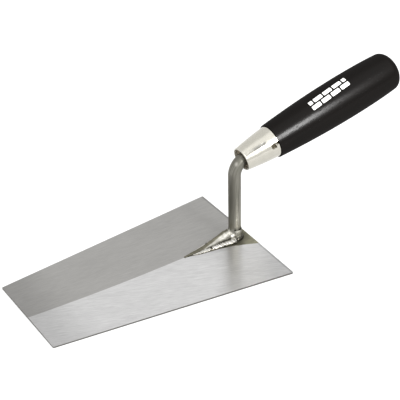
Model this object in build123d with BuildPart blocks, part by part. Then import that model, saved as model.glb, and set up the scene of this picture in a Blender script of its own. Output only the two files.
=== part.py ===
from build123d import *
import math
import os

# Brick trowel with a square-ended, tapered blade. Millimetres, +Z up.
# The origin is on the blade's flat underside, where the neck's axis meets it.
# +X runs back towards the handle, -X to the narrow front edge, and y = 0 is the tool's middle plane.

# Blade: one steel sheet, ground down on each side of a raised middle strip
blade_length = 200
heel_overhang = 11.1
heel_width = 130
front_width = 85
sheet_thickness = 2
ground_slope = 0.01
strip_tip = (-50.9, -2.3)
strip_half_width_at_heel = 15.8
corner_radius = 0.8
edge_break = 0.15

# Neck: one bar, standing on the blade, bent back and ending in a spike inside the handle
bar_radius = 5.17
neck_lean = 1.38
handle_tilt = 14.44
bend_radius = 14
apex_height = 72.15
shoulder_reach = 36.43
spike_length = 88
spike_end_radius = 2

# Foot: x, sideways offset, half width and half height, from under the neck to the point.
# It was welded on a little out of line, so its point lies to one side of the middle.
foot_sections = [
    (0, 0, 5.1, 5.3),
    (-11, -0.5, 4.5, 4.4),
    (-22, -1.0, 3.4, 2.7),
    (-32, -1.5, 2.4, 1.4),
    (-41, -1.9, 1.7, 0.8),
    (-50.5, -2.3, 0.7, 0.35),
]
foot_seating = 0.85

# Side beads: x, sideways offset, inner edge, toe on the blade and height, from heel to front
bead_sections = [
    (-3, 0, 3.4, 10.5, 3.2),
    (-14, -0.6, 3.0, 8.6, 2.9),
    (-25, -1.2, 2.4, 6.3, 2.0),
    (-34, -1.6, 1.6, 4.4, 1.2),
    (-43, -2.0, 0.8, 2.4, 0.4),
]
heel_bead_leg = 2.6
heel_bead_front_x = -2.95
heel_bead_top_lip = 0.4

# Ferrule and handle, measured along the handle's axis from the wooden shoulder
ferrule_length = 29.7
ferrule_front_radius = 9.74
ferrule_middle_radius = 11.92
ferrule_rear_radius = 13.44
ferrule_wall = 1
ferrule_mouth_round = 0.35
seam_angle = 42.3
seam_front_width = 0.5
seam_open_length = 23
prong_angle = 70
prong_window_start = -6.75
prong_window_length = 4.15
prong_window_width = 3.85
prong_depth = 2.2
prong_thickness = 0.8
prong_side_gap = 0.4
rim_slot_angle = 63.5
rim_slot_width = 1.4

shoulder_radius = 14.33
handle_length = 126
front_swell = (35, 16.7)
belly = (79, 17.7)
butt_start = (117, 16.35)
butt_shoulder = (122, 15.95)
butt_corner_radius = 9.4
tenon_recess = 4.6

os.makedirs("parts", exist_ok=True)

# Reference lines: the neck's lean, and the handle's axis with its local plane
lean = math.radians(neck_lean)
tilt = math.radians(handle_tilt)
apex = (-apex_height * math.tan(lean), apex_height)
shoulder = (apex[0] + shoulder_reach * math.cos(tilt), apex[1] + shoulder_reach * math.sin(tilt))
axis_direction = (math.cos(tilt), 0, math.sin(tilt))
handle_plane = Plane(origin=(shoulder[0], 0, shoulder[1]), x_dir=axis_direction, z_dir=(0, -1, 0))
handle_axis = Axis(origin=(shoulder[0], 0, shoulder[1]), direction=axis_direction)


def round_the_axis(angle, along, out):
    """A plane on the handle's axis, turned from straight up towards -Y, whose normal points outwards."""
    turn = math.radians(angle)
    up = handle_plane.y_dir
    side = handle_plane.z_dir
    normal = up * math.cos(turn) + side * math.sin(turn)
    origin = handle_plane.from_local_coords((along, 0, 0)) + normal * out
    return Plane(origin=origin, x_dir=axis_direction, z_dir=normal)


# Blade
heel_x = heel_overhang
front_x = heel_overhang - blade_length
rise = ground_slope * strip_half_width_at_heel / (heel_x - strip_tip[0])
with BuildPart() as blade:
    with BuildSketch():
        with BuildLine():
            Polyline(
                (heel_x, -heel_width / 2),
                (heel_x, heel_width / 2),
                (front_x, front_width / 2),
                (front_x, -front_width / 2),
                close=True,
            )
        make_face()
        fillet(vertices(), radius=corner_radius)
    extrude(amount=sheet_thickness)
    for side in (1, -1):
        ground_face = Plane(
            origin=(*strip_tip, sheet_thickness),
            z_dir=(-rise, side * ground_slope, 1),
        )
        split(bisect_by=ground_face, keep=Keep.BOTTOM)
    chamfer(faces().sort_by(Axis.Z)[0].edges(), length=edge_break)
blade.part.label = "blade"
export_step(blade.part, "parts/blade.step")

# Neck: upright, bend and spike along one path, with the foot lofted forwards from its base
spike_start = shoulder_reach - ferrule_length + tenon_recess + 3
with BuildPart() as neck:
    with BuildLine(Plane.XZ):
        bar_path = FilletPolyline(
            (0, 0),
            apex,
            (apex[0] + spike_start * math.cos(tilt), apex[1] + spike_start * math.sin(tilt)),
            radius=bend_radius,
        )
    with BuildSketch(Plane(origin=(0, 0, 0), z_dir=(-math.sin(lean), 0, math.cos(lean)))):
        Circle(bar_radius)
    sweep()
    spike_plane = Plane(origin=bar_path @ 1, z_dir=axis_direction)
    with BuildSketch(spike_plane):
        Circle(bar_radius)
    with BuildSketch(spike_plane.offset(spike_length)):
        Circle(spike_end_radius)
    loft()
    for x, offset, half_width, half_height in foot_sections:
        with BuildSketch(Plane.YZ.offset(x)):
            with Locations((offset, sheet_thickness + foot_seating * half_height)):
                Ellipse(half_width, half_height)
    loft()
    split(bisect_by=Plane.XY.offset(sheet_thickness), keep=Keep.TOP)
neck.part.label = "neck"
export_step(neck.part, "parts/neck.step")


def side_bead(side, name):
    """The filler bead along one side of the foot: a crowned strip, cut to the blade and the foot."""
    with BuildPart() as bead:
        for x, offset, inner, toe, height in bead_sections:
            with BuildSketch(Plane.YZ.offset(x)):
                with Locations((offset + side * (inner + toe) / 2, sheet_thickness)):
                    Ellipse((toe - inner) / 2, height)
        loft()
        split(bisect_by=Plane.XY.offset(sheet_thickness), keep=Keep.TOP)
        add(neck.part, mode=Mode.SUBTRACT)
    bead.part.label = name
    export_step(bead.part, f"parts/{name}.step")
    return bead


weld_left = side_bead(1, "weld_left")
weld_right = side_bead(-1, "weld_right")

# Heel bead: a fillet round the back of the neck's base, from one side bead to the other
with BuildPart() as weld_heel:
    with BuildSketch(Plane.XY.offset(sheet_thickness)):
        Circle(bar_radius + heel_bead_leg)
    with BuildSketch(Plane.XY.offset(sheet_thickness + heel_bead_leg)):
        Circle(bar_radius + heel_bead_top_lip)
    loft()
    split(bisect_by=Plane.YZ.offset(heel_bead_front_x), keep=Keep.TOP)
    add(neck.part, mode=Mode.SUBTRACT)
weld_heel.part.label = "weld_heel"
export_step(weld_heel.part, "parts/weld_heel.step")

# Ferrule: a barrelled cone rolled from sheet, with its seam, the prong's window and the slot to the rim
middle_s = -ferrule_length / 2
with BuildPart() as ferrule:
    with BuildSketch(handle_plane):
        with BuildLine():
            ThreePointArc(
                (-ferrule_length, ferrule_front_radius),
                (middle_s, ferrule_middle_radius),
                (0, ferrule_rear_radius),
            )
            Line((0, ferrule_rear_radius), (0, ferrule_rear_radius - ferrule_wall))
            ThreePointArc(
                (0, ferrule_rear_radius - ferrule_wall),
                (middle_s, ferrule_middle_radius - ferrule_wall),
                (-ferrule_length, ferrule_front_radius - ferrule_wall),
            )
            Line(
                (-ferrule_length, ferrule_front_radius - ferrule_wall),
                (-ferrule_length, ferrule_front_radius),
            )
        make_face()
    revolve(axis=handle_axis)
    rims = edges().filter_by(GeomType.CIRCLE).group_by(Axis(handle_axis.position, axis_direction))
    fillet(rims[0].sort_by(SortBy.RADIUS)[-1], radius=ferrule_mouth_round)
    with BuildSketch(round_the_axis(seam_angle, -ferrule_length, 0)):
        with BuildLine():
            Polyline(
                (-1, -seam_front_width / 2),
                (-1, seam_front_width / 2),
                (seam_open_length, 0),
                close=True,
            )
        make_face()
    extrude(amount=ferrule_rear_radius + 1, mode=Mode.SUBTRACT)
    with BuildSketch(round_the_axis(prong_angle, prong_window_start + prong_window_length / 2, 0)):
        Rectangle(prong_window_length, prong_window_width)
    extrude(amount=ferrule_rear_radius + 1, mode=Mode.SUBTRACT)
    with BuildSketch(round_the_axis(rim_slot_angle, -prong_window_length / 2 + 0.5, 0)):
        Rectangle(prong_window_length, rim_slot_width)
    extrude(amount=ferrule_rear_radius + 1, mode=Mode.SUBTRACT)
    prong_root = prong_window_start + prong_window_length
    prong_centre = prong_root - prong_thickness / 2 + 0.2
    inner_wall = ferrule_rear_radius - ferrule_wall
    with BuildSketch(round_the_axis(prong_angle, prong_centre, inner_wall - prong_depth)):
        Rectangle(prong_thickness, prong_window_width - 2 * prong_side_gap)
    extrude(amount=prong_depth + 0.2)
ferrule.part.label = "ferrule"
export_step(ferrule.part, "parts/ferrule.step")

# Handle: turned wood, with the tenon inside the ferrule and the bore that the spike fills
tenon_front = -ferrule_length + tenon_recess
with BuildPart() as handle:
    with BuildSketch(handle_plane):
        with BuildLine():
            tenon_skin = ThreePointArc(
                (-ferrule_length, ferrule_front_radius - ferrule_wall),
                (middle_s, ferrule_middle_radius - ferrule_wall),
                (0, ferrule_rear_radius - ferrule_wall),
            )
            Line(tenon_skin @ 1, (0, shoulder_radius))
            grip = Spline(
                (0, shoulder_radius),
                front_swell,
                belly,
                butt_start,
                tangents=[(10, 0.85), (butt_shoulder[0] - butt_start[0], butt_shoulder[1] - butt_start[1])],
            )
            Bezier(
                grip @ 1,
                butt_shoulder,
                (handle_length, butt_corner_radius),
                (handle_length, 0),
            )
            Line((handle_length, 0), (-ferrule_length, 0))
            Line((-ferrule_length, 0), tenon_skin @ 0)
        make_face()
    revolve(axis=handle_axis)
    split(bisect_by=Plane(origin=handle_plane.from_local_coords((tenon_front, 0, 0)), z_dir=axis_direction))
    add(neck.part, mode=Mode.SUBTRACT)
    add(ferrule.part, mode=Mode.SUBTRACT)
handle.part.label = "handle"
export_step(handle.part, "parts/handle.step")

for piece in (blade, neck, weld_left, weld_right, weld_heel, ferrule, handle):
    size = piece.part.bounding_box().size
    print(piece.part.label, round(piece.part.volume), "mm3", size)
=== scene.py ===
import math

import bmesh
import bpy
from mathutils import Matrix, Vector, noise
from mathutils.bvhtree import BVHTree


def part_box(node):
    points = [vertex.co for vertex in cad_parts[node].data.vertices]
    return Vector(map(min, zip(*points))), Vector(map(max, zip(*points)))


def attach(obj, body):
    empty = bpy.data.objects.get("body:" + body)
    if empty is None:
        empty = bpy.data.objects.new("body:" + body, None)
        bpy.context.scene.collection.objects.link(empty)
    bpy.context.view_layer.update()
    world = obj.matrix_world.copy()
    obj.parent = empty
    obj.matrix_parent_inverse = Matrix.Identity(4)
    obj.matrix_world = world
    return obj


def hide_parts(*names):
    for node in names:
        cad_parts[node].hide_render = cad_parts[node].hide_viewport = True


# Brick trowel: the looks. Lengths are millimetres, except for the lamp's, which are metres, and new_piece
# scales the meshes to metres. The CAD blade and handle stay and get materials. Forged, rippled and rolled
# meshes replace the neck, its welds and the ferrule. The wood seen inside the ferrule's mouth and the
# printed mark on the handle are new pieces.

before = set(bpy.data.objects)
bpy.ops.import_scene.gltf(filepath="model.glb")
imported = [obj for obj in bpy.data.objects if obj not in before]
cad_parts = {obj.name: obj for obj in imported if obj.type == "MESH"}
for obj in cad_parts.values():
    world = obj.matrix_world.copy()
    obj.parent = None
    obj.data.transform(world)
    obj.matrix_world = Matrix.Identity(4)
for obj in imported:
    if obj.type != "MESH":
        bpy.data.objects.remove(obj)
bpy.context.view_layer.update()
MM = 0.001

# The shape that the new pieces follow: the same driving sizes as the CAD part. The apex is where the
# upright bar's axis would meet the handle's axis if the bend were a sharp corner.
sheet_top = 2
bar_radius = 5.17
neck_lean = math.radians(1.38)
handle_tilt = math.radians(14.44)
bend_radius = 14
apex = Vector((-1.74, 0, 72.15))
shoulder_reach = 36.43
ferrule_length = 29.7
spike_inset = 7.6
spike_length = 88
spike_end_radius = 2
strip_tip = Vector((-50.9, -2.3))
strip_half_width_at_heel = 15.8
heel_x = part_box("blade")[1].x / MM

handle_direction = Vector((math.cos(handle_tilt), 0, math.sin(handle_tilt)))
handle_up = Vector((-math.sin(handle_tilt), 0, math.cos(handle_tilt)))
handle_side = Vector((0, -1, 0))
shoulder = apex + handle_direction * shoulder_reach


# ---------------------------------------------------------------- shader helpers


class Shader:
    """The nodes of one material or world. A method adds a node, fills its inputs and returns its output."""

    def __init__(self, owner):
        owner.use_nodes = True
        self.tree = owner.node_tree
        self.tree.nodes.clear()

    def fill(self, socket, value):
        if isinstance(value, bpy.types.NodeSocket):
            self.tree.links.new(value, socket)
        elif isinstance(value, tuple) and len(value) == 3 and socket.type == "RGBA":
            socket.default_value = (*value, 1)
        else:
            socket.default_value = value

    def node(self, kind, inputs, output=0, **settings):
        made = self.tree.nodes.new("ShaderNode" + kind)
        for name, value in settings.items():
            setattr(made, name, value)
        for key, value in inputs.items():
            self.fill(made.inputs[key], value)
        return made.outputs[output]

    def parts(self, vector):
        made = self.tree.nodes.new("ShaderNodeSeparateXYZ")
        self.fill(made.inputs[0], vector)
        return made.outputs

    def math(self, operation, a, b=0.0):
        return self.node("Math", {0: a, 1: b}, operation=operation)

    def hump(self, value, middle, reach):
        """1 at the middle, falling along a parabola to 0 at this reach on either side."""
        off = self.math("DIVIDE", self.math("SUBTRACT", value, middle), reach)
        return self.math("MAXIMUM", self.math("SUBTRACT", 1.0, self.math("MULTIPLY", off, off)), 0.0)

    def vector(self, operation, a, b):
        """A sum, difference, product or dot product of two vectors."""
        return self.node("VectorMath", {0: a, 1: b}, int(operation == "DOT_PRODUCT"), operation=operation)

    def length(self, vector):
        return self.node("VectorMath", {0: vector}, 1, operation="LENGTH")

    def attribute(self, name, output="Fac"):
        """What write_attribute left on the mesh under this name."""
        return self.node("Attribute", {}, output, attribute_name=name)

    def times(self, vector, amount):
        """A vector or a colour, scaled by a number."""
        return self.node("VectorMath", {0: vector, 3: amount}, operation="SCALE")

    def step(self, value, low, high):
        """0 below low and 1 above high, with a smooth rise between them. It falls if low is above high."""
        inputs = {"Value": value, "From Min": low, "From Max": high}
        return self.node("MapRange", inputs, interpolation_type="SMOOTHSTEP")

    def noise(self, place, size=(1, 1, 1), turn=0.0, detail=2.0, roughness=0.5):
        """Noise from 0 to 1. size is its features' size along three axes, turned about Z by turn."""
        inputs = {"Vector": place, "Rotation": (0, 0, turn), "Scale": size}
        sized = self.node("Mapping", inputs, vector_type="TEXTURE")
        inputs = {"Vector": sized, "Scale": 1.0, "Detail": detail, "Roughness": roughness}
        return self.node("TexNoise", inputs)

    def mix(self, share, a, b):
        """Colour a where share is 0, and colour b where it is 1."""
        inputs = {0: share, 6: a, 7: b}
        return self.node("Mix", inputs, 2, data_type="RGBA")

    def blend(self, share, a, b):
        """The number a where share is 0, and b where it is 1."""
        return self.node("Mix", {0: share, 2: a, 3: b}, 0, data_type="FLOAT")

    def bump(self, height, depth, under=None):
        """A normal, from a height of 0 to 1 that stands for a depth in millimetres."""
        inputs = {"Height": height, "Distance": depth * MM, "Strength": 1.0}
        if under is not None:
            inputs["Normal"] = under
        return self.node("Bump", inputs)

    def output(self, kind, surface):
        made = self.tree.nodes.new("ShaderNodeOutput" + kind)
        self.fill(made.inputs["Surface"], surface)


class Finish(Shader):
    """One material, with the place on the object in millimetres at hand."""

    def __init__(self, name):
        self.material = bpy.data.materials.new(name)
        super().__init__(self.material)
        self.place = self.times(self.node("TexCoord", {}, "Object"), 1 / MM)
        self.x, self.y, self.z = self.parts(self.place)

    def principled(self, **inputs):
        """The Principled shader and the material's output. Underscores in a name stand for spaces."""
        named = {key.replace("_", " "): value for key, value in inputs.items()}
        self.output("Material", self.node("BsdfPrincipled", named))
        return self.material

    def handle_place(self):
        """How far along the handle's axis from its shoulder, and how far to the side and up from the axis."""
        out = self.vector("SUBTRACT", self.place, tuple(shoulder))
        directions = (handle_direction, -handle_side, handle_up)
        return [self.vector("DOT_PRODUCT", out, tuple(way)) for way in directions]


# ---------------------------------------------------------------- materials


def across(turn):
    """The level direction square to brushing at this angle from +X. Highlights stretch along it."""
    return (-math.sin(turn), math.cos(turn), 0)


# The ridge between the blade's ground halves bows towards the near side, as hand grinding leaves it
ridge_bow_middle = -119
ridge_bow_reach = 70
ridge_bow = 1.6
# The near edge of the unground strip is dished beside the neck's foot
dish_middle = -14
dish_reach = 22
dish_depth = 2.2


def blade_material():
    """Ground steel: two halves brushed in different directions, the near half painted lighter and the far
    half darker as painted reflection, a dull unground strip with painted shade round the neck, and sawn
    edges.

    The pattern depends on x and y alone, so the underside shows the same halves and strip as the top.
    """
    s = Finish("blade_ground_steel")
    near_turn = math.radians(-20)
    far_turn = math.radians(-3)

    bow = s.math("MULTIPLY", s.hump(s.x, ridge_bow_middle, ridge_bow_reach), ridge_bow)
    off_ridge = s.math("ADD", s.math("SUBTRACT", s.y, strip_tip.y), bow)
    far_half = s.step(off_ridge, -0.25, 0.25)

    spread = strip_half_width_at_heel / (heel_x - strip_tip.x)
    inside = s.math("MULTIPLY", s.math("SUBTRACT", s.x, strip_tip.x), spread)
    ragged = s.noise(s.place, (6, 3, 3))
    inside = s.math("SUBTRACT", inside, s.math("ABSOLUTE", s.math("SUBTRACT", s.y, strip_tip.y)))
    dished = s.hump(s.x, dish_middle, dish_reach)
    dished = s.math("MULTIPLY", dished, s.step(s.y, strip_tip.y, strip_tip.y - 2))
    inside = s.math("SUBTRACT", inside, s.math("MULTIPLY", dished, dish_depth))
    inside = s.math("ADD", inside, s.math("MULTIPLY", ragged, 1.2))
    strip = s.step(inside, 0.0, 1.3)

    def brushing(turn):
        broad = s.noise(s.place, (18, 1.2, 1.2), turn, 2.0)
        fine = s.noise(s.place, (8, 0.5, 0.5), turn, 2.0, 0.6)
        return s.math("ADD", s.math("MULTIPLY", broad, 0.3), s.math("MULTIPLY", fine, 0.7))

    near_lines = brushing(near_turn)
    far_lines = brushing(far_turn)
    lines = s.blend(far_half, near_lines, far_lines)
    cloud = s.noise(s.place, (45, 30, 30), 0.0, 3.0)

    # Painted light and shade: the same steel is painted lighter on the near half and darker on the far half,
    # for the stronger and weaker reflections of the two brushing directions.
    near_half_painted_light = s.mix(near_lines, (0.4, 0.398, 0.397), (0.755, 0.752, 0.749))
    far_half_painted_shade = s.mix(far_lines, (0.305, 0.301, 0.293), (0.46, 0.453, 0.441))
    ground = s.mix(far_half, near_half_painted_light, far_half_painted_shade)
    ground = s.times(ground, s.blend(cloud, 0.95, 1.05))
    ground = s.times(ground, s.blend(s.step(s.x, -190.0, -140.0), 0.8, 1.0))
    blunted = s.step(s.x, heel_x - 2.0, heel_x - 1.3)
    ground = s.times(ground, s.blend(blunted, 1.0, 0.78))
    mottle = s.noise(s.place, (5, 3, 3), 0.0, 4.0)
    unground = s.mix(mottle, (0.17, 0.165, 0.125), (0.37, 0.36, 0.29))
    # Painted shade: the unground strip is darker round the bar's base and along the foot, where the neck
    # shades it.
    unground = s.times(unground, s.blend(s.step(s.length(s.place), 7.0, 15.0), 0.55, 1.0))
    unground = s.times(unground, s.blend(s.step(s.x, 5.0, -4.0), 1.0, 0.6))
    colour = s.mix(strip, ground, unground)

    normal_z = s.parts(s.node("NewGeometry", {}, "Normal"))[2]
    side = s.step(s.math("ABSOLUTE", normal_z), 0.9, 0.5)
    colour = s.mix(side, colour, (0.24, 0.235, 0.225))

    rough = s.blend(lines, 0.3, 0.4)
    rough = s.blend(strip, rough, 0.5)
    rough = s.blend(side, rough, 0.5)
    lie = s.node("Mix", {0: far_half, 4: across(near_turn), 5: across(far_turn)}, 1, data_type="VECTOR")
    return s.principled(
        Base_Color=colour,
        Metallic=1.0,
        Roughness=rough,
        Anisotropic=0.75,
        Tangent=lie,
        Normal=s.bump(lines, 0.006),
    )


# A painted highlight on the outside of the bend
bend_highlight_spot = (-1.8, -2.6, 73.2)


def neck_material():
    """Drawn bar: satin steel with lengthwise lines, olive and brown where it was heated for welding, with
    painted shade on the foot and collar and a painted highlight on the bend.
    """
    s = Finish("neck_drawn_steel")
    flow = s.attribute("flow", "Vector")
    lines = s.noise(flow, (30, 0.6, 0.6), 0.0, 3.0, 0.6)
    broad = s.noise(flow, (40, 2.4, 2.4), 0.0, 2.0)
    scale = s.noise(s.place, (3, 3, 3), 0.0, 4.0, 0.6)
    colour = s.mix(lines, (0.13, 0.126, 0.108), (0.33, 0.322, 0.288))
    colour = s.mix(s.step(broad, 0.5, 0.7), colour, (0.33, 0.322, 0.295))
    colour = s.times(colour, s.blend(s.step(s.z, 45.0, 15.0), 1.0, 1.35))
    heat = s.step(s.z, 26.0, 3.0)
    colour = s.mix(s.math("MULTIPLY", heat, scale), colour, (0.27, 0.25, 0.2))
    bright = s.mix(scale, (0.42, 0.412, 0.38), (0.6, 0.59, 0.55))
    colour = s.mix(s.attribute("forged"), colour, bright)
    # Painted shade, in a dark olive, on the foot's far side, on its point and at the collar's back.
    far_side_shade_colour = s.mix(scale, (0.12, 0.114, 0.088), (0.26, 0.25, 0.205))
    colour = s.mix(s.attribute("far_side_shade"), colour, far_side_shade_colour)
    # Painted shade, nearly black, in the crease round the collar's top and on the foot's steep edge beside
    # the near bead.
    colour = s.mix(s.attribute("crease_shade"), colour, (0.03, 0.028, 0.02))
    # Painted highlight: a light spot on the outside of the bend.
    off_highlight_spot = s.vector("MULTIPLY", s.vector("SUBTRACT", s.place, bend_highlight_spot), (0.7, 0.7, 0.45))
    highlight_spot = s.step(s.length(off_highlight_spot), 1.5, 0.2)
    colour = s.mix(s.math("MULTIPLY", highlight_spot, 0.4), colour, (0.75, 0.73, 0.68))
    rough = s.blend(lines, 0.42, 0.55)
    return s.principled(
        Base_Color=colour,
        Metallic=1.0,
        Roughness=rough,
        Normal=s.bump(scale, 0.05, s.bump(lines, 0.02)),
    )


def weld_material():
    """Wire-brushed weld metal: bright on its ripples' crests and dark in the hollows, with painted shade at
    the toe and over the heel bead.
    """
    s = Finish("weld_metal")
    scale = s.noise(s.place, (1.2, 1.2, 1.2), 0.0, 4.0, 0.6)
    colour = s.mix(scale, (0.38, 0.372, 0.35), (0.68, 0.67, 0.64))
    # Dark where the crest value is low: in the hollows and at the pit, and as painted shade at the toe and
    # over the heel bead.
    colour = s.mix(s.step(s.attribute("crest"), 0.7, 0.1), colour, (0.07, 0.066, 0.055))
    return s.principled(
        Base_Color=colour,
        Metallic=1.0,
        Roughness=s.blend(scale, 0.22, 0.4),
        Normal=s.bump(scale, 0.06),
    )


def ferrule_material():
    """Nickel-plated sheet: polished round its girth, a little uneven, with painted shade in its seam, duller
    inside.
    """
    s = Finish("ferrule_nickel")
    along, _, _ = s.handle_place()
    polish = s.noise(s.node("CombineXYZ", {0: along}), (0.35, 1, 1), 0.0, 3.0, 0.7)
    dents = s.noise(s.place, (9, 6, 6), 0.0, 2.0)
    cloud = s.noise(s.place, (5, 5, 5), 0.0, 3.0)
    colour = s.mix(cloud, (0.52, 0.505, 0.455), (0.6, 0.585, 0.535))
    # Painted shade: the seam's groove is painted dark for the dimmer band its tilted sides reflect, and
    # fainter towards the front.
    seam_fade = s.blend(s.step(along, seam_front, -16.0), 0.45, 1.0)
    groove = s.math("MULTIPLY", s.step(s.attribute("seam"), -0.1, 0.9), seam_fade)
    colour = s.mix(groove, colour, (0.18, 0.177, 0.166))
    inside = s.attribute("inside")
    colour = s.mix(inside, colour, s.mix(cloud, (0.66, 0.63, 0.56), (0.82, 0.79, 0.73)))
    rough = s.blend(groove, s.blend(polish, 0.14, 0.22), 0.32)
    rough = s.blend(inside, rough, 0.5)
    return s.principled(
        Base_Color=colour,
        Metallic=s.blend(inside, 1.0, 0.0),
        Roughness=rough,
        Normal=s.bump(dents, 0.25, s.bump(polish, 0.004)),
    )


def handle_material():
    """Black semi-gloss lacquer over fine-grained wood, and the bare tenon inside the ferrule.

    The gloss is a strong thin coat with the base's own gloss off, so that the handle's rims stay dark while
    the key's streak is bright.
    """
    s = Finish("handle_black_lacquer")
    along, sideways, up = s.handle_place()
    grain_place = s.node("CombineXYZ", {0: along, 1: sideways, 2: up})
    pores = s.noise(grain_place, (9, 0.5, 0.5), 0.0, 3.0, 0.6)
    grain = s.noise(grain_place, (50, 2.2, 2.2), 0.0, 4.0, 0.6)
    peel = s.noise(s.place, (1.6, 1.6, 1.6), 0.0, 1.0)
    lacquer = s.mix(grain, (0.002, 0.001, 0.0004), (0.006, 0.0035, 0.002))
    wood = s.mix(pores, (0.045, 0.038, 0.025), (0.13, 0.115, 0.08))
    bare = s.step(along, 0.0, -0.3)
    dips = s.step(pores, 0.62, 0.75)
    rough = s.blend(grain, 0.22, 0.3)
    brush_marks = s.noise(grain_place, (4, 0.7, 0.7), 0.0, 3.0)
    skin = s.bump(dips, -0.05, s.bump(brush_marks, 0.025, s.bump(peel, 0.012)))
    return s.principled(
        Base_Color=s.mix(bare, lacquer, wood),
        Roughness=s.blend(bare, rough, 0.75),
        Specular_IOR_Level=0.0,
        Coat_Weight=0.17,
        Coat_IOR=2.5,
        Coat_Roughness=0.26,
        Coat_Normal=skin,
        Normal=skin,
    )


def end_grain_material():
    """Sawn end grain, dusty and brown, with open pores."""
    s = Finish("handle_end_grain")
    pores = s.noise(s.place, (0.5, 0.5, 0.5), 0.0, 3.0, 0.6)
    cloud = s.noise(s.place, (4, 4, 4), 0.0, 3.0)
    colour = s.mix(cloud, (0.3, 0.26, 0.2), (0.5, 0.45, 0.37))
    colour = s.mix(s.step(pores, 0.58, 0.68), colour, (0.12, 0.1, 0.07))
    rough = s.blend(pores, 0.7, 0.85)
    return s.principled(Base_Color=colour, Roughness=rough, Normal=s.bump(pores, 0.1))


def ink_material():
    """Matt white printing ink, a little thin in places."""
    s = Finish("mark_white_ink")
    thin = s.noise(s.place, (0.7, 0.7, 0.7), 0.0, 3.0)
    colour = s.mix(s.step(thin, 0.7, 0.55), (0.55, 0.55, 0.54), (0.9, 0.9, 0.88))
    rough = s.blend(thin, 0.45, 0.6)
    return s.principled(Base_Color=colour, Roughness=rough, Normal=s.bump(thin, 0.01))


# ---------------------------------------------------------------- mesh helpers


def loop_faces(bm, first, second):
    """A band of four-sided faces between two closed loops of vertices."""
    count = len(first)
    for i in range(count):
        j = (i + 1) % count
        bm.faces.new((first[i], first[j], second[j], second[i]))


def tube(bm, rings):
    """A closed skin over rings of points, in millimetres, with a flat cap at each end."""
    made = [[bm.verts.new(point) for point in ring] for ring in rings]
    for first, second in zip(made, made[1:]):
        loop_faces(bm, first, second)
    bm.faces.new(reversed(made[0]))
    bm.faces.new(made[-1])


def ring(centre, one, two, count=64):
    """Points round an ellipse, from its centre and its two half axes."""
    turns = [2 * math.pi * i / count for i in range(count)]
    return [centre + one * math.cos(t) + two * math.sin(t) for t in turns]


def new_piece(name, bm, material, crease=180):
    """A smooth-shaded object in metres, from a mesh in millimetres.

    Edges that turn by more than crease stay sharp.
    """
    bmesh.ops.recalc_face_normals(bm, faces=bm.faces)
    for edge in bm.edges:
        edge.smooth = edge.calc_face_angle(0) < math.radians(crease)
    bm.transform(Matrix.Scale(MM, 4))
    mesh = bpy.data.meshes.new(name)
    bm.to_mesh(mesh)
    bm.free()
    mesh.polygons.foreach_set("use_smooth", [True] * len(mesh.polygons))
    if material is not None:
        mesh.materials.append(material)
    piece = bpy.data.objects.new(name, mesh)
    bpy.context.scene.collection.objects.link(piece)
    return piece


def with_modifier(piece, kind, **settings):
    """Adds one modifier and makes its result the piece's own mesh."""
    modifier = piece.modifiers.new(kind.lower(), kind)
    for name, value in settings.items():
        setattr(modifier, name, value)
    graph = bpy.context.evaluated_depsgraph_get()
    result = bpy.data.meshes.new_from_object(piece.evaluated_get(graph))
    piece.modifiers.clear()
    old = piece.data
    piece.data = result
    bpy.data.meshes.remove(old)


def write_attribute(piece, name, kind, values):
    """One value for each vertex, which the material reads by name."""
    field = "vector" if kind == "FLOAT_VECTOR" else "value"
    flat = [number for value in values for number in value] if field == "vector" else values
    piece.data.attributes.new(name, kind, "POINT").data.foreach_set(field, flat)


def smooth_rise(value, low, high):
    """0 at low and 1 at high, with a smooth rise between them. It falls if low is above high."""
    t = min(max((value - low) / (high - low), 0), 1)
    return t * t * (3 - 2 * t)


def along_table(x, table):
    """The numbers at x in a table whose first column is x, with straight lines between its rows."""
    rows = sorted(table)
    x = min(max(x, rows[0][0]), rows[-1][0])
    for low, high in zip(rows, rows[1:]):
        if x <= high[0]:
            share = (x - low[0]) / (high[0] - low[0])
            return [a + (b - a) * share for a, b in zip(low[1:], high[1:])]


# ---------------------------------------------------------------- neck

# Foot: x, sideways offset, half width and half height, from the back of the bar to the point
foot_table = [
    (5.1, 0, 5.1, 5.3),
    (0, 0, 5.1, 5.3),
    (-11, -0.5, 4.5, 4.4),
    (-22, -1.0, 3.4, 2.7),
    (-32, -1.5, 2.4, 1.4),
    (-41, -1.9, 1.7, 0.8),
    (-50.5, -2.3, 0.7, 0.35),
]
foot_seating = 0.85
foot_point = foot_table[-1][0]
foot_back = 5.0
# Foot: x, and where across its width the painted shade of its far side begins, from -1 at the near side to 1
# at the far side
shade_edge_table = [
    (-4, 0.1),
    (-13, -0.08),
    (-20, -0.17),
    (-29, -0.57),
    (-36, -1.0),
    (-50.5, -1.3),
]
# The foot's section, in its half width and half height: a gently sloping near face and a steep far side
foot_outline = [
    (-1.0, -1.0),
    (-1.0, 0.05),
    (-0.82, 0.3),
    (0.3, 0.98),
    (0.6, 0.9),
    (1.0, 0.1),
    (1.0, -1.0),
]
collar_top = 11.2
# Collar: height, radius and turn of its nine flats, as the hammer left them
collar_levels = [
    (sheet_top - 1, 6.3, 0),
    (5.5, 5.95, 9),
    (8.5, 5.75, 14),
    (collar_top - 0.6, 5.7, 22),
    (collar_top, 5.3, 22),
]
collar_flats = 9


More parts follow.
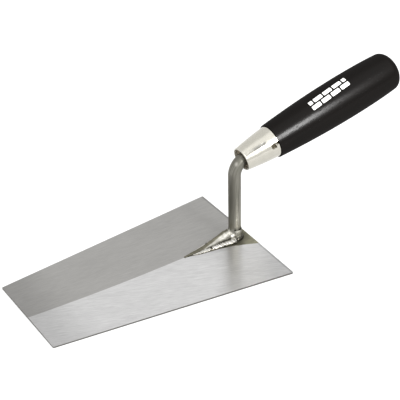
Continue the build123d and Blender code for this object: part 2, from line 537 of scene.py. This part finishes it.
def neck_centreline():
    """Points and directions up the bar, round its bend and along the handle's axis to the spike."""
    upright = Vector((-math.sin(neck_lean), 0, math.cos(neck_lean)))
    turn = upright.angle(handle_direction)
    reach = bend_radius * math.tan(turn / 2)
    bend_start = apex - upright * reach
    inward = Vector((upright.z, 0, -upright.x))
    line = [(upright * height / upright.z, upright) for height in (9, 14, 20, 30, 40, 50, 58)]
    steps = 16
    for i in range(steps + 1):
        angle = turn * i / steps
        direction = upright * math.cos(angle) + inward * math.sin(angle)
        middle = bend_start + inward * bend_radius
        out = -inward * math.cos(angle) + upright * math.sin(angle)
        line.append((middle + out * bend_radius, direction))
    spike_start = apex + handle_direction * (shoulder_reach - ferrule_length + spike_inset)
    line.append((spike_start, handle_direction))
    return line, spike_start


def clean_bar():
    """The round bar above the collar and the spike that tapers inside the handle."""
    line, spike_start = neck_centreline()
    side = Vector((0, 1, 0))
    rings = [ring(point, side * bar_radius, side.cross(way) * bar_radius) for point, way in line]
    up = side.cross(handle_direction)
    spike_end = spike_start + handle_direction * spike_length
    rings.append(ring(spike_end, side * spike_end_radius, up * spike_end_radius))
    bm = bmesh.new()
    tube(bm, rings)
    return new_piece("neck_forging", bm, None)


def forged_foot():
    """The foot and the collar under the bar, run together and dented as a hammer leaves them."""
    side = Vector((0, 1, 0))
    up = Vector((0, 0, 1))
    bm = bmesh.new()
    rings = []
    stations = 60
    for i in range(stations + 1):
        x = foot_point + (foot_back - foot_point) * i / stations
        offset, half_width, half_height = along_table(x, foot_table)
        # The back is round, under the bar
        if x > 0:
            half_width *= math.sqrt(max(1 - (x / 5.15) ** 2, 0.03))
        centre = Vector((x, offset, sheet_top + foot_seating * half_height))
        corners = [centre + side * half_width * u + up * half_height * v for u, v in foot_outline]
        points = []
        for one, two in zip(corners, corners[1:] + corners[:1]):
            points += [one.lerp(two, share / 6) for share in range(6)]
        rings.append(points)
    tube(bm, rings)
    foot = new_piece("foot", bm, None)
    bm = bmesh.new()
    rings = []
    for z, radius, turn in collar_levels:
        turn = math.radians(turn)
        forward = Vector((-math.cos(turn), math.sin(turn), 0)) * radius
        rings.append(ring(up * z, forward, up.cross(forward), collar_flats))
    tube(bm, rings)
    collar = new_piece("collar", bm, None)
    with_modifier(foot, "BOOLEAN", operation="UNION", object=collar, solver="EXACT")
    bpy.data.objects.remove(collar)
    with_modifier(foot, "REMESH", mode="VOXEL", voxel_size=0.35 * MM)
    bm = bmesh.new()
    bm.from_mesh(foot.data)
    every_way = {"use_axis_x": True, "use_axis_y": True, "use_axis_z": True}
    for _ in range(3):
        bmesh.ops.smooth_vert(bm, verts=bm.verts, factor=0.5, **every_way)
    bm.normal_update()
    for vert in bm.verts:
        place = vert.co / MM
        size = along_table(place.x, foot_table)[2]
        dent = noise.noise(place * 0.3) * 0.35 + noise.noise(place * 0.9 + Vector((7, 0, 0))) * 0.12
        vert.co += vert.normal * dent * min(size / 4, 1) * MM
        if vert.co.z < sheet_top * MM:
            vert.co.z = sheet_top * MM
    bm.to_mesh(foot.data)
    bm.free()
    return foot


def neck_flow(place):
    """Where a point lies along the bar and across it, so that drawn lines follow the bar round its bend."""
    if place.z < collar_top and place.x < -2:
        return place
    line, _ = neck_centreline()
    length = 0
    best = (1e9, place)
    for (a, _), (b, _) in zip(line, line[1:]):
        span = b - a
        share = min(max((place - a).dot(span) / span.length_squared, 0), 1)
        near = a + span * share
        far = (place - near).length
        if far < best[0]:
            up = Vector((0, 1, 0)).cross(span.normalized())
            best = (far, Vector((length + share * span.length, place.y, (place - near).dot(up))))
        length += span.length
    return best[1]


def forged(place):
    """1 on the foot and collar and 0 on the clean bar above them."""
    return smooth_rise(place.z, collar_top + 0.3, collar_top - 0.5)


def add_neck():
    neck = clean_bar()
    foot = forged_foot()
    with_modifier(neck, "BOOLEAN", operation="UNION", object=foot, solver="EXACT")
    bpy.data.objects.remove(foot)
    neck.data.materials.clear()
    neck.data.materials.append(neck_material())
    neck.data.polygons.foreach_set("use_smooth", [True] * len(neck.data.polygons))
    places = [vert.co / MM for vert in neck.data.vertices]
    write_attribute(neck, "flow", "FLOAT_VECTOR", [neck_flow(p) for p in places])
    for name, value_at in (("forged", forged), ("far_side_shade", far_side_shade), ("crease_shade", crease_shade)):
        write_attribute(neck, name, "FLOAT", [value_at(p) for p in places])
    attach(neck, "root")
    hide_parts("neck")


def far_side_shade(place):
    """How much painted shade lies on the foot's far side, on its point and at the collar's back."""
    if place.z > collar_top + 0.3:
        return 0
    from_axis = math.hypot(place.x, place.y)
    collar = 0.3 * smooth_rise(from_axis, 7.0, 6.3)
    if place.x > -4:
        return max(collar, smooth_rise(place.x, 0, 4))
    offset, half_width, _ = along_table(place.x, foot_table)
    (shade_edge,) = along_table(place.x, shade_edge_table)
    far_side = smooth_rise((place.y - offset) / half_width, shade_edge - 0.1, shade_edge + 0.2)
    return max(far_side * smooth_rise(from_axis, 6.2, 7.0), collar)


def crease_shade(place):
    """How much painted shade lies on a point of the neck: round the collar's top and beside the near bead."""
    top = 1 - smooth_rise(abs(place.z - collar_top - 0.2), 0.4, 1.1)
    if place.z > collar_top or place.x > -3:
        return top
    offset, half_width, _ = along_table(place.x, foot_table)
    near_side = smooth_rise((offset - place.y) / half_width, 0.62, 0.9)
    return max(top, 0.85 * near_side * smooth_rise(place.x, -6, -8))


# ---------------------------------------------------------------- welds

# Side beads: x, sideways offset, inner edge, toe on the blade and height
bead_table = [
    (-2.4, 0, 2.2, 9.3, 2.9),
    (-14, -0.6, 1.9, 7.6, 2.5),
    (-25, -1.2, 1.5, 5.9, 1.9),
    (-34, -1.6, 1.0, 4.3, 1.2),
    (-43, -2.0, 0.4, 2.3, 0.5),
]
side_bead_pitch = 2.1
side_bead_pit = 26.5
heel_bead_leg = 2.6
heel_bead_height = 2.2
heel_bead_reach = math.radians(118)
heel_bead_pitch = 1.7
# The beads are laid this far into the blade, so that no gap shows under them
bead_sink = 0.02


def weld_bead(name, stations, seed, pitch, cad_node, brightness=1.0, pit_along=None):
    """A rippled bead, with a dark pit at one place along it if pit_along says where.

    A station is its middle on the blade, the way out to its toe, half its width, its height and how far
    along the bead it is. Each section is a dome with a flat bottom, leaning away from its toe.
    """
    bm = bmesh.new()
    crests_and_shade = []
    rings = []
    arc = 14
    for middle, out, half_width, height, along in stations:
        points = []
        for i in range(arc + 1):
            angle = math.pi * i / arc
            bulge = math.sin(angle)
            lag = 1.4 * (1 - bulge)
            wander = noise.noise(Vector((along * 0.35, seed, 0))) * 1.2
            wave = (along + lag + wander) / pitch
            ripple = 0.5 + 0.5 * math.cos(2 * math.pi * wave)
            rough = noise.noise(Vector((along * 0.8, angle * 1.5, seed + 5)))
            swell = 1 + (0.09 * ripple + 0.13 * rough) * bulge
            toe = 1 + 0.12 * noise.noise(Vector((along * 0.45, seed + 9, angle)))
            flat = out * (math.cos(angle) * toe - 0.3 * bulge) * half_width
            points.append(middle + flat + Vector((0, 0, height * bulge * swell)))
            pit = 0 if pit_along is None else 1 - smooth_rise(abs(along - pit_along), 0.5, 1.4)
            toe_shade = 1 - 0.4 * smooth_rise(math.cos(angle), 0.6, 0.95)
            crest = min(1, bulge * 1.2) * (0.6 + 0.4 * ripple)
            crests_and_shade.append(crest * (1 - pit) * brightness * toe_shade)
        rings.append(points)
    tube(bm, rings)
    piece = new_piece(name, bm, weld_steel)
    write_attribute(piece, "crest", "FLOAT", crests_and_shade)
    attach(piece, "root")
    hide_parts(cad_node)


def add_side_bead(side, name, cad_node):
    steps = 170
    stations = []
    first = bead_table[0][0]
    last = bead_table[-1][0]
    for i in range(steps + 1):
        x = first + (last - first) * i / steps
        offset, inner, toe, height = along_table(x, bead_table)
        close = math.sqrt(max(smooth_rise(i, -1, 6), 0.02))
        middle = Vector((x, offset + side * (inner + toe) / 2, sheet_top - bead_sink))
        half_width = (toe - inner) / 2 * close
        stations.append((middle, Vector((0, side, 0)), half_width, height * close, -x))
    weld_bead(name, stations, 3.0 + side, side_bead_pitch, cad_node, pit_along=side_bead_pit)


def add_heel_bead():
    steps = 110
    radius = bar_radius + heel_bead_leg / 2 - 0.6
    half_width = heel_bead_leg * 0.62
    stations = []
    for i in range(steps + 1):
        turn = -heel_bead_reach + 2 * heel_bead_reach * i / steps
        out = Vector((math.cos(turn), math.sin(turn), 0))
        close = math.sqrt(max(min(smooth_rise(i, -1, 7), smooth_rise(steps - i, -1, 7)), 0.02))
        middle = out * radius + Vector((0, 0, sheet_top - bead_sink))
        stations.append((middle, out, half_width * close, heel_bead_height * close, radius * turn))
    # The heel bead is painted at 0.3 of the side beads' brightness: painted shade beside the bar.
    weld_bead("weld_bead_heel", stations, 11.0, heel_bead_pitch, "weld_heel", brightness=0.3)


# ---------------------------------------------------------------- ferrule

ferrule_front_radius = 9.74
ferrule_middle_radius = 11.92
ferrule_rear_radius = 13.44
ferrule_wall = 1
lip_round = 0.3
seam_angle = 42.3
seam_front = -28.9
seam_rear = -7.6
seam_upper_width = 2.6
seam_lower_width = 1.1
seam_depth = 0.17
prong_angle = 70
prong_half_width = 1.95
window_front = -7.0
window_rear = -2.7
slot_angle = 64
slot_half_width = 1.1
# The seam's cross-section is drawn at these angles on either side of its line
seam_offsets = (0, 0.25, 0.6, 1.1, 1.8, 2.6, 3.3, 4.2, 5.5, 7.5)
# Prong: how far out from the sheet's middle, thickness and half width, from its root to its point
prong_sections = [
    (-0.6, 0.8, 1.6),
    (-1.2, 0.75, 1.5),
    (-2.4, 0.55, 1.2),
    (-3.0, 0.2, 0.7),
]


def ferrule_radius(s):
    """The barrelled cone's outer radius at s, from minus the ferrule's length to 0 at the rear rim."""
    t = 1 + s / ferrule_length
    front = ferrule_front_radius * (1 - t) * (1 - 2 * t)
    middle = ferrule_middle_radius * 4 * t * (1 - t)
    rear = ferrule_rear_radius * t * (2 * t - 1)
    return front + middle + rear


def seam_profile(s, off):
    """How deep the seam's groove is, from 0 to 1, at a distance off its line. Its upper side is gentler."""
    ends = smooth_rise(s, seam_front - 0.4, seam_front + 0.4) * smooth_rise(s, seam_rear, seam_rear - 4)
    half_width = seam_upper_width if off < 0 else seam_lower_width
    return ends * (1 - smooth_rise(abs(off), 0.1, half_width))


def in_prong_hole(s, angle):
    """True inside the window and inside the slot that runs from it to the rear rim."""
    arc = math.radians(1) * ferrule_rear_radius
    window = window_front < s < window_rear and abs(angle - prong_angle) * arc < prong_half_width
    slot = s > window_front + 2 and abs(angle - slot_angle) * arc < slot_half_width
    return window or slot


def add_ferrule():
    """The rolled sleeve: a skin outside and one inside, joined round the lips and the prong's hole."""
    arc = math.radians(1) * ferrule_rear_radius
    lip = [lip_round * (1 - math.cos(math.radians(t))) for t in (0, 30, 60, 90)]
    stations = {-ferrule_length + step for step in lip} | {-step for step in lip}
    between_lips = ferrule_length - 2 * lip_round
    stations |= {-ferrule_length + lip_round + between_lips * i / 60 for i in range(61)}
    stations |= {window_front, window_rear}
    angles = {2.0 * i for i in range(180)}
    for middle, half_width in ((prong_angle, prong_half_width), (slot_angle, slot_half_width)):
        angles |= {middle - half_width / arc, middle + half_width / arc}
    angles |= {seam_angle + side * off for side in (-1, 1) for off in seam_offsets}
    stations = sorted(stations)
    angles = sorted(angles)

    bm = bmesh.new()
    depths = []
    inside = []
    made = {}

    def vertex(layer, i, j):
        j %= len(angles)
        if (layer, i, j) not in made:
            s, angle = stations[i], angles[j]
            turn = math.radians(angle)
            from_rim = min(s + ferrule_length, -s, lip_round)
            pulled = lip_round - math.sqrt(lip_round ** 2 - (lip_round - from_rim) ** 2)
            radius = ferrule_radius(s)
            groove = seam_profile(s, (angle - seam_angle) * math.radians(1) * radius)
            radius += pulled - ferrule_wall if layer else -pulled - seam_depth * groove
            out = handle_up * math.cos(turn) + handle_side * math.sin(turn)
            made[layer, i, j] = bm.verts.new(shoulder + handle_direction * s + out * radius)
            depths.append(groove * (1 - layer))
            inside.append(layer * smooth_rise(from_rim, 0.1, lip_round))
        return made[layer, i, j]

    def kept(i, j):
        if not 0 <= i < len(stations) - 1:
            return False
        j %= len(angles)
        after = angles[(j + 1) % len(angles)] + (360 if j + 1 == len(angles) else 0)
        return not in_prong_hole((stations[i] + stations[i + 1]) / 2, (angles[j] + after) / 2)

    for i in range(len(stations) - 1):
        for j in range(len(angles)):
            if not kept(i, j):
                continue
            corners = ((i, j), (i, j + 1), (i + 1, j + 1), (i + 1, j))
            neighbours = ((i - 1, j), (i, j + 1), (i + 1, j), (i, j - 1))
            for layer in (0, 1):
                bm.faces.new([vertex(layer, *corner) for corner in corners])
            for one, two, beside in zip(corners, corners[1:] + corners[:1], neighbours):
                if not kept(*beside):
                    bm.faces.new((vertex(0, *one), vertex(0, *two), vertex(1, *two), vertex(1, *one)))

    add_prong(bm)
    plain = [0] * (len(bm.verts) - len(depths))
    sleeve = new_piece("ferrule_sleeve", bm, ferrule_material(), crease=50)
    write_attribute(sleeve, "seam", "FLOAT", depths + plain)
    write_attribute(sleeve, "inside", "FLOAT", inside + plain)
    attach(sleeve, "root")
    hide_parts("ferrule")


def add_tenon_end():
    """The wood's end grain inside the mouth, round the bar: a dished and slightly rough ring."""
    wall_gap = 0.12
    bm = bmesh.new()
    profile = []
    for s, off in ((-25.0, 0), (-26.9, 0), (-27.5, 0.5)):
        profile.append((s, ferrule_radius(s) - ferrule_wall - wall_gap - off))
    profile += [(-27.6, 7.6), (-27.5, 6.6), (-27.2, bar_radius + 0.25), (-25.0, bar_radius + 0.25)]
    rings = []
    for index, (s, radius) in enumerate(profile):
        points = []
        for i in range(96):
            turn = 2 * math.pi * i / 96
            out = handle_up * math.cos(turn) + handle_side * math.sin(turn)
            rough = noise.noise(out * 3 + Vector((index, 0, 0))) * 0.12 if 2 <= index <= 5 else 0
            points.append(bm.verts.new(shoulder + handle_direction * (s + rough) + out * radius))
        rings.append(points)
    for first, second in zip(rings, rings[1:] + rings[:1]):
        loop_faces(bm, first, second)
    tenon = new_piece("tenon_end_grain", bm, end_grain_material(), crease=50)
    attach(tenon, "root")


def add_prong(bm):
    """The tab that was lanced out of the window and driven into the wood at the window's rear edge."""
    turn = math.radians(prong_angle)
    out = handle_up * math.cos(turn) + handle_side * math.sin(turn)
    wide = out.cross(handle_direction)
    rings = []
    for depth, thickness, half_width in prong_sections:
        middle = shoulder + handle_direction * (window_rear + 0.25)
        middle += out * (ferrule_rear_radius - ferrule_wall / 2 + depth)
        reach = handle_direction * thickness / 2
        span = wide * half_width
        front = [middle - reach - span, middle - reach + span]
        rear = [middle + reach + span, middle + reach - span]
        rings.append(front + rear)
    tube(bm, rings)


# ---------------------------------------------------------------- printed mark

# The mark's middle: how far behind the shoulder, and its angle from straight up towards the near side
mark_middle = (57.5, 18.6)
mark_length = 39
mark_height = 8.8
mark_skew = -9.0
joint_width = 1.3
brick_corner = 0.7
ink_thickness = 0.05
# The handle's radius where the mark is, which turns a length round its girth into an angle
grip_radius = 17.2


def brick_rows():
    """Bricks as (left, right, bottom, top): two courses, the upper one shifted by half a brick."""
    brick = (mark_length + joint_width) / 4
    height = (mark_height - joint_width) / 2
    rows = []
    for course in (0, 1):
        bottom = -mark_height / 2 + course * (height + joint_width)
        edges = [0, 1, 2, 3, 4] if course == 0 else [0, 0.5, 1.5, 2.5, 3.5, 4]
        for left, right in zip(edges, edges[1:]):
            start = -mark_length / 2 + left * brick
            rows.append((start, start + (right - left) * brick - joint_width, bottom, bottom + height))
    return rows


def rounded(u, v, width, height, radius):
    """A point of a rectangle from u and v between -1 and 1, pulled in at the corners to a round."""
    x, y = u * width / 2, v * height / 2
    inner_x, inner_y = width / 2 - radius, height / 2 - radius
    over_x, over_y = abs(x) - inner_x, abs(y) - inner_y
    if over_x > 0 and over_y > 0:
        far = math.hypot(over_x, over_y)
        square = max(over_x, over_y)
        x = math.copysign(inner_x + over_x * square / far, x)
        y = math.copysign(inner_y + over_y * square / far, y)
    return x, y


def add_mark():
    """A pictogram of bonded bricks in white ink, lying on the handle's real surface."""
    skin = BVHTree.FromObject(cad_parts["handle"], bpy.context.evaluated_depsgraph_get())

    def on_handle(along, arc, lift):
        angle = math.radians(mark_middle[1] + mark_skew * along / mark_length) + arc / grip_radius
        s = mark_middle[0] + along
        axis = shoulder + handle_direction * s
        out = handle_up * math.cos(angle) + handle_side * math.sin(angle)
        hit, normal, _, _ = skin.ray_cast((axis + out * 40) * MM, -out)
        return hit / MM + normal * lift

    bm = bmesh.new()
    for left, right, bottom, top in brick_rows():
        columns, lines = 16, 8
        levels = []
        for lift in (ink_thickness, -ink_thickness):
            grid = []
            for j in range(lines + 1):
                for i in range(columns + 1):
                    u, v = 2 * i / columns - 1, 2 * j / lines - 1
                    x, y = rounded(u, v, right - left, top - bottom, brick_corner)
                    point = on_handle((left + right) / 2 + x, -((bottom + top) / 2 + y), lift)
                    grid.append(bm.verts.new(point))
            levels.append(grid)
        wide = columns + 1
        for grid in levels:
            for j in range(lines):
                for i in range(columns):
                    a = j * wide + i
                    bm.faces.new((grid[a], grid[a + 1], grid[a + wide + 1], grid[a + wide]))
        rim = list(range(columns))
        rim += [columns + j * wide for j in range(lines)]
        rim += [lines * wide + i for i in range(columns, 0, -1)]
        rim += [j * wide for j in range(lines, 0, -1)]
        loop_faces(bm, [levels[0][i] for i in rim], [levels[1][i] for i in rim])
    mark = new_piece("brick_mark", bm, ink_material())
    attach(mark, "root")


# ---------------------------------------------------------------- camera, floor and light


def from_angles(azimuth, elevation):
    """The way towards something seen at this azimuth, which is 0 for a camera looking along +Y."""
    a, e = math.radians(azimuth), math.radians(elevation)
    return Vector((math.sin(a) * math.cos(e), -math.cos(a) * math.cos(e), math.sin(e)))


# The camera as fitted to the blade's edges in the photo, on the assumption that it was level
camera_azimuth = -33.175
camera_elevation = 33.448
camera_distance = 1015.5
camera_aim = Vector((-24.37, 13.97, 38.02))
camera_lens = 114.3
# The camera was fitted to places counted from the middle of a pixel, and Blender counts from its corner:
# half a pixel, as a share of the picture's width
half_pixel = 0.00125


def add_camera():
    back = from_angles(camera_azimuth, camera_elevation)
    camera = bpy.data.objects.new("camera", bpy.data.cameras.new("camera"))
    camera.data.lens = camera_lens
    camera.data.shift_x = -half_pixel
    camera.data.shift_y = half_pixel
    camera.location = (camera_aim + back * camera_distance) * MM
    camera.rotation_euler = back.to_track_quat("Z", "Y").to_euler()
    bpy.context.scene.collection.objects.link(camera)
    bpy.context.scene.camera = camera


def add_floor():
    """A plain white floor, a tenth of a millimetre under the blade."""
    s = Finish("floor_white")
    cloud = s.noise(s.place, (400, 400, 400))
    material = s.principled(
        Base_Color=s.mix(cloud, (0.39, 0.39, 0.39), (0.41, 0.41, 0.41)),
        Roughness=0.9,
        Emission_Color=(1, 1, 1),
        Emission_Strength=0.4,
    )
    bm = bmesh.new()
    bmesh.ops.create_grid(bm, x_segments=2, y_segments=2, size=6000)
    floor = new_piece("floor", bm, material)
    floor.location.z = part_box("blade")[0].z - 0.1 * MM


def add_softbox(name, azimuth, elevation, distance, width, height, power):
    """A rectangular lamp aimed at the handle's front, in metres and watts."""
    light = bpy.data.lights.new(name, "AREA")
    light.shape = "RECTANGLE"
    light.size = width
    light.size_y = height
    light.energy = power
    lamp = bpy.data.objects.new(name, light)
    way = from_angles(azimuth, elevation)
    aim = Vector((0.05, 0, 0.08))
    lamp.location = aim + way * distance
    lamp.rotation_euler = way.to_track_quat("Z", "Y").to_euler()
    bpy.context.scene.collection.objects.link(lamp)


def add_light():
    """A white studio: even light all round, brighter overhead and in front, and one small key lamp."""
    world = bpy.data.worlds.new("studio")
    bpy.context.scene.world = world
    s = Shader(world)
    way = s.node("TexCoord", {}, "Generated")
    overhead = s.step(s.vector("DOT_PRODUCT", way, (0, -0.5, 0.866)), 0.6, 0.88)
    s.output("World", s.node("Background", {0: (1, 1, 1), 1: s.blend(overhead, 0.8, 1.1)}))
    add_softbox("key", azimuth=7, elevation=37, distance=1.5, width=0.3, height=0.6, power=10)


# ---------------------------------------------------------------- the scene

bpy.context.scene.view_settings.view_transform = "Standard"
bpy.context.scene.view_settings.look = "High Contrast"
add_camera()
add_floor()
add_light()

for node, made in (("blade", blade_material()), ("handle", handle_material())):
    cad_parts[node].data.materials[0] = made

weld_steel = weld_material()
add_neck()
add_side_bead(1, "weld_bead_left", "weld_left")
add_side_bead(-1, "weld_bead_right", "weld_right")
add_heel_bead()
add_ferrule()
add_tenon_end()
add_mark()
